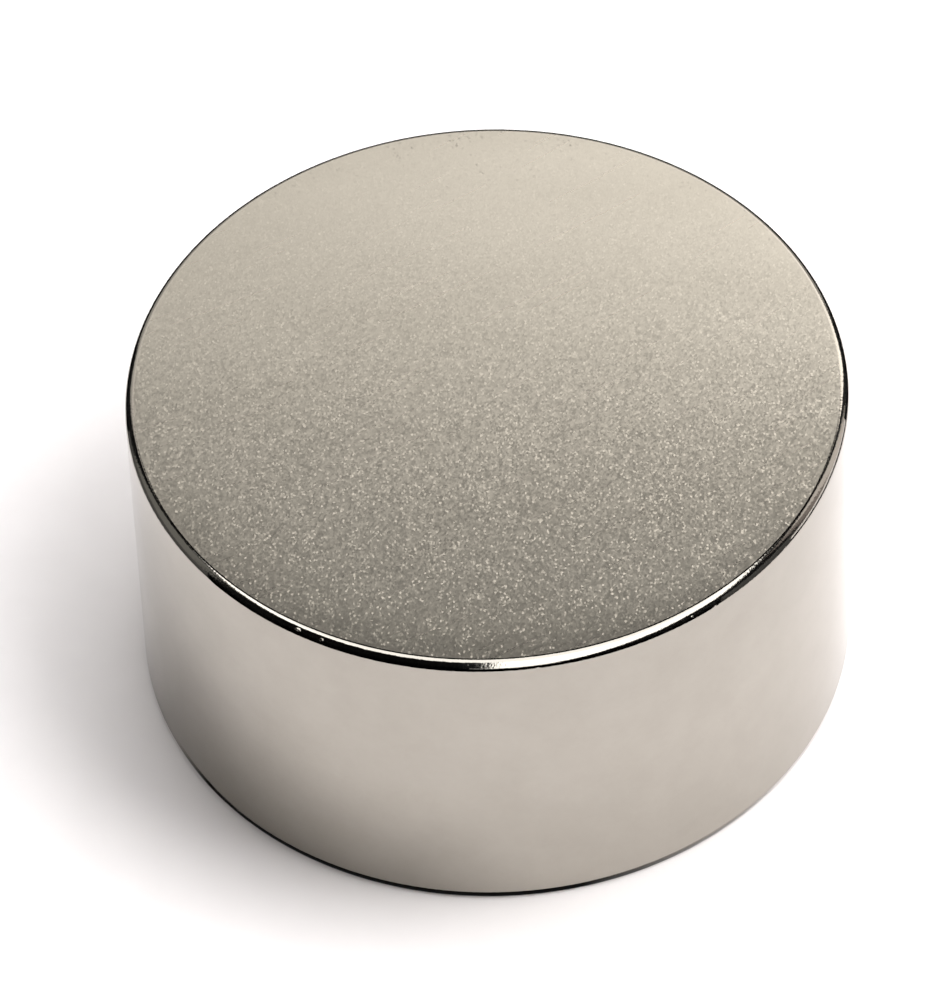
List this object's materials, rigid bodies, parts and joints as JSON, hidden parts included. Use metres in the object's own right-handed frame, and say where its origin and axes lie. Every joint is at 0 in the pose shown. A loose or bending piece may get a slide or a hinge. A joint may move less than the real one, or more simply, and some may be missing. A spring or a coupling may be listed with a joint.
{
  "type": "cylinder magnet",
  "caption": "Solid cylindrical permanent magnet with ground flat pole faces, rounded rims and bright nickel plating.",
  "frame": {"origin": "centre of the lower pole face, which is the face the magnet stands on", "axes": "+Z along the cylinder's axis, from the lower pole face to the upper one; X and Y are any two directions square to it, as the part is turned"},
  "size_m": [0.04, 0.04, 0.02],
  "materials": {
    "nickel_plate": "bright nickel plating, mirror smooth on the side wall and rims and finely grained satin on the two ground pole faces"
  },
  "bodies": {
    "root": {"magnet": "nickel_plate"}
  },
  "joints": []
}
